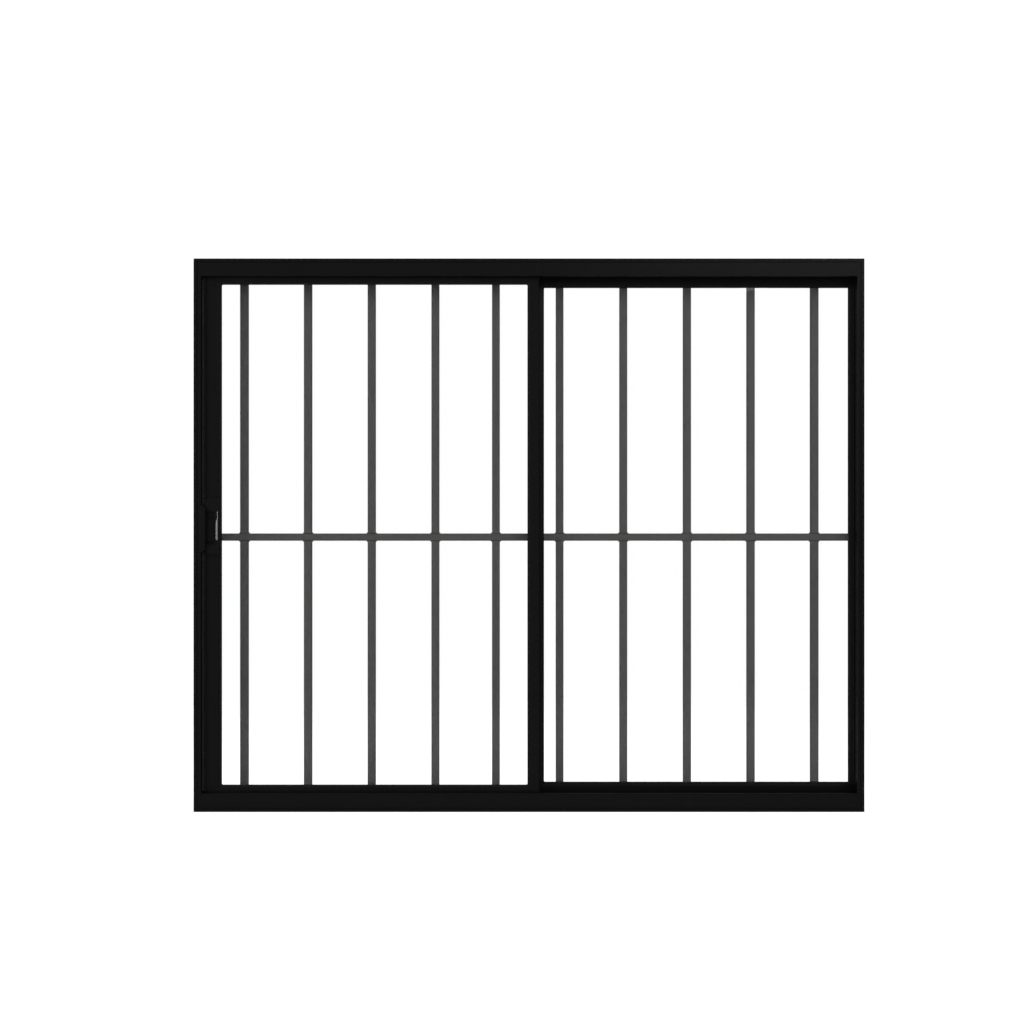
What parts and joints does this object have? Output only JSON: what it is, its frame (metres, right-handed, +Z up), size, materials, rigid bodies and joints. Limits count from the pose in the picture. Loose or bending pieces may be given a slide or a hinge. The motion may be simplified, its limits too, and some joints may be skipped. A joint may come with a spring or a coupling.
{
  "type": "sliding window with security bars",
  "caption": "Wide two-light aluminium sliding window: one sash rolls behind a flush side latch, the other light is fixed, and a flush grille of upright square bars guards the outer side.",
  "frame": {"origin": "centre of the sill's underside, midway between the room-side and street-side faces", "axes": "+X to the right as seen from the room, +Y outward through the wall, +Z up"},
  "size_m": [1.2, 0.08, 0.99],
  "materials": {
    "black_coat": "satin black powder coat on extruded aluminium",
    "grille_coat": "satin dark grey powder coat on square tube",
    "glass": "clear float glass",
    "rubber": "matt black rubber",
    "nylon": "matt black nylon",
    "pile": "black brush pile",
    "steel": "plain stainless steel",
    "black_steel": "black oxide steel",
    "bright_steel": "bright polished steel"
  },
  "bodies": {
    "window_frame": {"frame_head": "black_coat", "frame_sill": "black_coat", "frame_jamb_left": "black_coat", "frame_jamb_right": "black_coat", "fixed_meeting_stile": "black_coat", "fixed_jamb_stile": "black_coat", "fixed_top_rail": "black_coat", "fixed_bottom_rail": "black_coat", "latch_keeper": "black_coat", "security_bar_01": "grille_coat", "security_bar_02": "grille_coat", "security_bar_03": "grille_coat", "security_bar_04": "grille_coat", "security_bar_05": "grille_coat", "security_bar_06": "grille_coat", "security_bar_07": "grille_coat", "security_bar_08": "grille_coat", "security_bar_09": "grille_coat", "security_bar_10": "grille_coat", "security_crossbar": "grille_coat", "grille_rail_bottom": "grille_coat", "grille_rail_top": "grille_coat", "frame_screw_left_bottom": "black_steel", "grille_screw_left_bottom": "black_steel", "frame_screw_left_top": "black_steel", "grille_screw_left_top": "black_steel", "frame_screw_right_bottom": "black_steel", "grille_screw_right_bottom": "black_steel", "frame_screw_right_top": "black_steel", "grille_screw_right_top": "black_steel", "latch_keeper_screw": "black_steel", "fixed_glass": "glass", "fixed_gasket": "rubber", "sash_buffer_bottom": "rubber", "sash_buffer_top": "rubber", "fixed_light_stop": "nylon"},
    "sliding_sash": {"sash_handle_stile": "black_coat", "sash_meeting_stile": "black_coat", "sash_top_rail": "black_coat", "sash_bottom_rail": "black_coat", "sash_glass": "glass", "sash_gasket": "rubber", "sash_pile_inner": "pile", "sash_pile_outer": "pile", "sash_screw_left_bottom": "black_steel", "sash_screw_left_top": "black_steel", "sash_screw_right_bottom": "black_steel", "sash_screw_right_top": "black_steel", "roller_carriage_left": "nylon", "roller_carriage_right": "nylon", "roller_axle_left": "steel", "roller_axle_right": "steel", "latch_case": "black_coat", "latch_pull": "bright_steel", "latch_screw_bottom": "black_steel", "latch_screw_top": "black_steel"},
    "roller_left": {"roller_wheel_left": "nylon"},
    "roller_right": {"roller_wheel_right": "nylon"},
    "latch_bolt": {"latch_slider": "black_coat", "latch_hook": "steel"}
  },
  "joints": [
    {"name": "sash_slide", "type": "slide", "parent": "window_frame", "child": "sliding_sash", "axis": [1, 0, 0], "range_m": [0, 0.56]},
    {"name": "roller_left_spin", "type": "hinge", "parent": "sliding_sash", "child": "roller_left", "pos_m": [-0.49, -0.017, 0.0166], "axis": [0, 1, 0], "continuous": true},
    {"name": "roller_right_spin", "type": "hinge", "parent": "sliding_sash", "child": "roller_right", "pos_m": [-0.066, -0.017, 0.0166], "axis": [0, 1, 0], "continuous": true},
    {"name": "latch_slide", "type": "slide", "parent": "sliding_sash", "child": "latch_bolt", "axis": [0, 0, 1], "range_m": [0, 0.011]}
  ],
  "couplings": [
    {"joint": "roller_left_spin", "follows": "sash_slide", "rad_per_m": 142.86},
    {"joint": "roller_right_spin", "follows": "sash_slide", "rad_per_m": 142.86}
  ]
}
